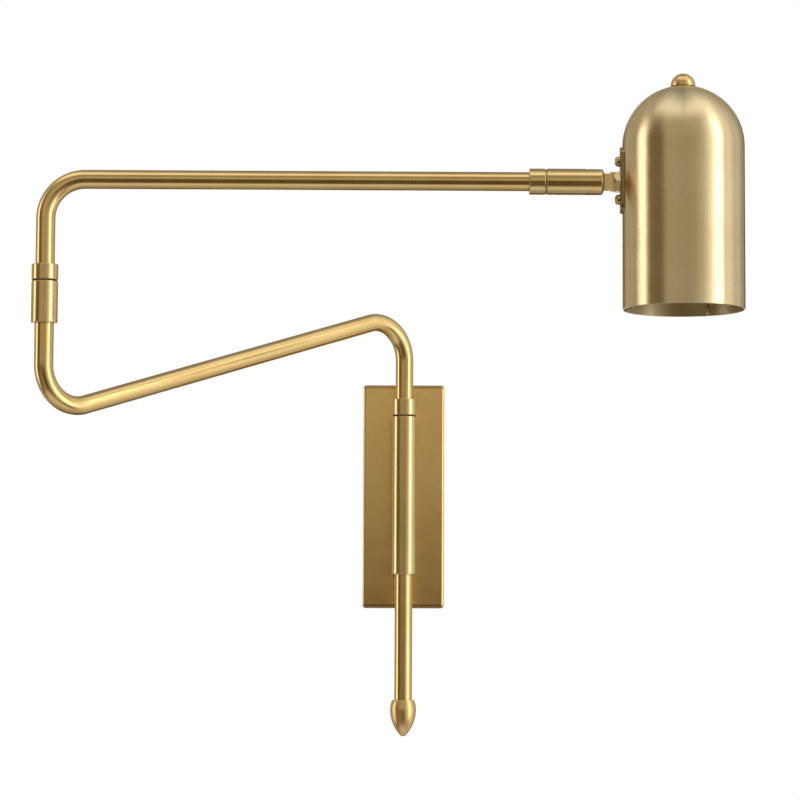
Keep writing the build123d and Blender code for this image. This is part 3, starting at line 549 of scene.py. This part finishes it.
along, round_angle = np.meshgrid(np.linspace(0.0, 1.0, bead_rings),
                                 np.linspace(0.0, 2 * math.pi, bead_sides, endpoint=False), indexing="ij")
bead = braze_bead(along, round_angle)
ring, side = np.meshgrid(np.arange(bead_rings - 1), np.arange(bead_sides), indexing="ij")
corner = ring * bead_sides + side
beside = ring * bead_sides + (side + 1) % bead_sides
faces = np.stack([corner, beside, beside + bead_sides, corner + bead_sides], axis=-1).reshape(-1, 4)
seam_mesh = bpy.data.meshes.new("shade_seam")
seam_mesh.from_pydata(bead.reshape(-1, 3).tolist(), [], faces.tolist())
seam_mesh.materials.append(brazing)
seam_mesh.shade_smooth()
seam = bpy.data.objects.new("shade_seam", seam_mesh)
bpy.context.scene.collection.objects.link(seam)
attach(seam, "head")

# Lamp holder: two screwed shells of black phenolic moulding round a white insulator.
# It hangs inside the dome on a threaded nipple, held by a washer and a lock nut.

phenolic = speckled("black_phenolic", fineness=900, detail=4.0, dark=(0.35, (0.018, 0.017, 0.016)),
                    pale=(0.75, (0.040, 0.036, 0.032)), gloss=(0.28, 0.42), depth=0.00001)
cover(phenolic, "holder_cap", "holder_shell")

ceramic = speckled("white_insulator", fineness=1500, detail=3.0, dark=(0.30, (0.76, 0.74, 0.69)),
                   pale=(0.70, (0.86, 0.85, 0.81)), gloss=(0.30, 0.45), depth=0.00001)
cover(ceramic, "holder_insulator")

# Bulb: a small opal glass globe on a screw cap, blown and coated white inside.
# It is screwed up into the holder, with its glass well inside the shade.

opal = speckled("opal_glass", fineness=120, detail=3.0, dark=(0.30, (0.86, 0.85, 0.81)),
                pale=(0.70, (0.93, 0.92, 0.89)), gloss=(0.06, 0.14), depth=0.00003)
surface = opal.node_tree.nodes["Principled BSDF"]
surface.inputs["Subsurface Weight"].default_value = 0.4
surface.inputs["Subsurface Scale"].default_value = 0.004
cover(opal, "bulb_glass")

# Lead: dark sheathed two-core cable, drawn through the studs and arms from the wall to the holder.
# The sheath is extruded plastic, satin, with a faint mottling.

sheath = speckled("lead_sheath", fineness=1600, detail=3.0, dark=(0.30, (0.07, 0.062, 0.055)),
                  pale=(0.70, (0.13, 0.118, 0.105)), gloss=(0.42, 0.60), depth=0.00003)
cover(sheath, "supply_lead", "lower_arm_lead", "upper_arm_lead", "head_lead")

# Floor: a pale matt disc well below the lamp. It fades into the white surroundings and keeps the lamp's
# shadow. Its underside is clear, so that the lamp can be looked at from below.

floor_middle = np.array([0.0, -0.2, -0.45])
floor_radius = 3.0
floor_rings = 24
floor_sides = 96
radius, turn = np.meshgrid(np.linspace(0.0, floor_radius, floor_rings + 1)[1:],
                           np.linspace(0.0, 2 * math.pi, floor_sides, endpoint=False), indexing="ij")
disc = np.stack([radius * np.cos(turn), radius * np.sin(turn), np.zeros_like(radius)], axis=-1)
floor_points = floor_middle + np.vstack([np.zeros(3), disc.reshape(-1, 3)])
ring, side = np.meshgrid(np.arange(floor_rings - 1), np.arange(floor_sides), indexing="ij")
corner = 1 + ring * floor_sides + side
beside = 1 + ring * floor_sides + (side + 1) % floor_sides
quads = np.stack([corner, corner + floor_sides, beside + floor_sides, beside], axis=-1).reshape(-1, 4)
fan = np.stack([np.zeros(floor_sides, int), corner[0], beside[0]], axis=-1)
floor_mesh = bpy.data.meshes.new("floor")
floor_mesh.from_pydata(floor_points.tolist(), [], quads.tolist() + fan.tolist())
floor = bpy.data.objects.new("floor", floor_mesh)
bpy.context.scene.collection.objects.link(floor)
floor_paint, tree, surface = start_finish("floor_paint")[:3]
floor_mesh.materials.append(floor_paint)
path = put(tree, "LightPath").outputs["Is Camera Ray"]
surface.inputs["Base Color"].default_value = (0.8, 0.8, 0.8, 1.0)
surface.inputs["Roughness"].default_value = 0.9
surface.inputs["Emission Color"].default_value = (1.0, 1.0, 1.0, 1.0)
tree.links.new(between(tree, path, 0.0, 0.45, 0.0, 1.0), surface.inputs["Emission Strength"])
below = put(tree, "NewGeometry").outputs["Backfacing"]
clear = put(tree, "BsdfTransparent").outputs["BSDF"]
one_way = put(tree, "MixShader", {0: below, 1: surface.outputs["BSDF"], 2: clear}).outputs["Shader"]
tree.links.new(one_way, tree.nodes["Material Output"].inputs["Surface"])
floor.visible_glossy = False

# Light: a studio tent. Soft white panels stand round the lamp with dark warm gaps between them, and the
# white backdrop behind it closes the tent. The camera sees plain white everywhere.

tent = bpy.data.worlds.new("tent")
bpy.context.scene.world = tent
tent.use_nodes = True
tree = tent.node_tree
look = put(tree, "SeparateXYZ", {"Vector": put(tree, "TexCoord").outputs["Generated"]})
to_camera = put(tree, "Math", {0: look.outputs["Y"], 1: -1.0}, operation="MULTIPLY").outputs["Value"]
heading = put(tree, "Math", {0: look.outputs["X"], 1: to_camera}, operation="ARCTAN2").outputs["Value"]
rise = put(tree, "Math", {0: look.outputs["Z"]}, operation="ARCSINE").outputs["Value"]


def soft_band(angle, middle, half, edge):
    """1 within half degrees of the middle, easing to 0 over the edge."""
    away = put(tree, "Math", {0: angle, 1: math.radians(middle)}, operation="SUBTRACT").outputs["Value"]
    away = put(tree, "Math", {0: away}, operation="ABSOLUTE").outputs["Value"]
    sockets = {"Value": away, "From Min": math.radians(half + edge), "From Max": math.radians(half - edge)}
    return put(tree, "MapRange", sockets, interpolation_type="SMOOTHSTEP").outputs["Result"]


def panel(below, level, upright, around=None, tint=(1.0, 1.0, 1.0)):
    """Lays a panel over the tent so far. Its upright band and, if it doesn't go right round, the band around
    each give its middle, half width and soft edge in degrees."""
    share = soft_band(rise, *upright)
    if around:
        bands = {0: soft_band(heading, *around), 1: share}
        share = put(tree, "Math", bands, operation="MULTIPLY").outputs["Value"]
    return over(tree, share, below, tuple(level * part for part in tint))


walls = panel((0.0, 0.0, 0.0, 1.0), 0.085, upright=(0, 90, 1), tint=(1.0, 0.68, 0.32))
walls = panel(walls, 0.34, upright=(32, 15, 7), tint=(1.0, 0.90, 0.70))
walls = panel(walls, 0.42, upright=(75, 25, 7))
walls = panel(walls, 1.25, around=(0, 110, 15), upright=(65, 13, 6))
walls = panel(walls, 0.26, around=(-4, 3.5, 3), upright=(74, 12, 6))
walls = panel(walls, 0.40, upright=(-76, 22, 8))
walls = panel(walls, 0.70, around=(0, 95, 30), upright=(-66, 17, 8))
for turn in (-1, 1):
    walls = panel(walls, 0.26, around=(36 * turn, 22, 8), upright=(-27, 19, 6), tint=(1.0, 0.88, 0.66))
walls = panel(walls, 0.17, around=(-61, 9, 6), upright=(9, 40, 8), tint=(1.0, 0.78, 0.42))
walls = panel(walls, 0.52, around=(-11, 31, 6), upright=(12.5, 10.5, 3), tint=(1.0, 0.93, 0.78))
walls = panel(walls, 0.50, around=(28, 9, 6), upright=(10, 25, 8), tint=(1.0, 0.95, 0.84))
walls = panel(walls, 0.90, around=(46, 10, 8), upright=(5, 40, 12))
walls = panel(walls, 0.90, around=(90, 14, 9), upright=(5, 50, 12))
walls = panel(walls, 0.62, around=(116, 15, 9), upright=(0, 60, 10))
walls = panel(walls, 0.38, around=(140, 10, 7), upright=(0, 60, 10), tint=(1.0, 0.93, 0.80))
walls = panel(walls, 0.42, around=(-128, 23, 8), upright=(0, 60, 10), tint=(1.0, 0.93, 0.80))
walls = panel(walls, 2.10, around=(-90, 9.5, 7.5), upright=(2, 28, 14))
walls = panel(walls, 1.35, around=(62, 13, 6), upright=(12, 34, 12))
walls = panel(walls, 3.10, around=(64, 7, 6), upright=(12, 34, 12))
for turn in (-180, 180):
    walls = panel(walls, 0.22, around=(turn, 12, 6), upright=(62, 22, 8))
    walls = panel(walls, 1.0, around=(turn, 12, 5), upright=(0, 20, 6))
paths = put(tree, "LightPath").outputs
straight = {0: paths["Is Camera Ray"], 1: paths["Is Transmission Ray"]}
seen = put(tree, "Math", straight, operation="MAXIMUM").outputs["Value"]
tree.links.new(over(tree, seen, walls, (1.0, 1.0, 1.0)), tree.nodes["Background"].inputs["Color"])

# Camera: a little below the pan's foot, about two metres off, as the lamp was photographed.
# It looks slightly up, and its lens is long, with a width of view of fifteen degrees.

lens_pixels = 2941.6
picture_pixels = 800
camera_place = Vector((-0.0136, -2.1975, -0.1158))
pitch, yaw, roll = (math.radians(angle) for angle in (4.92, 0.28, 0.26))
view = bpy.data.cameras.new("camera")
view.sensor_width = 36.0
view.lens = lens_pixels / picture_pixels * view.sensor_width
camera = bpy.data.objects.new("camera", view)
bpy.context.scene.collection.objects.link(camera)
forward = Vector((math.sin(yaw) * math.cos(pitch), math.cos(yaw) * math.cos(pitch), math.sin(pitch)))
level_right = Vector((math.cos(yaw), -math.sin(yaw), 0.0))
right = math.cos(roll) * level_right + math.sin(roll) * level_right.cross(forward)
stand = Matrix((right, right.cross(forward), -forward)).transposed().to_4x4()
stand.translation = camera_place
camera.matrix_world = stand
bpy.context.scene.camera = camera
bpy.context.scene.view_settings.view_transform = "Standard"
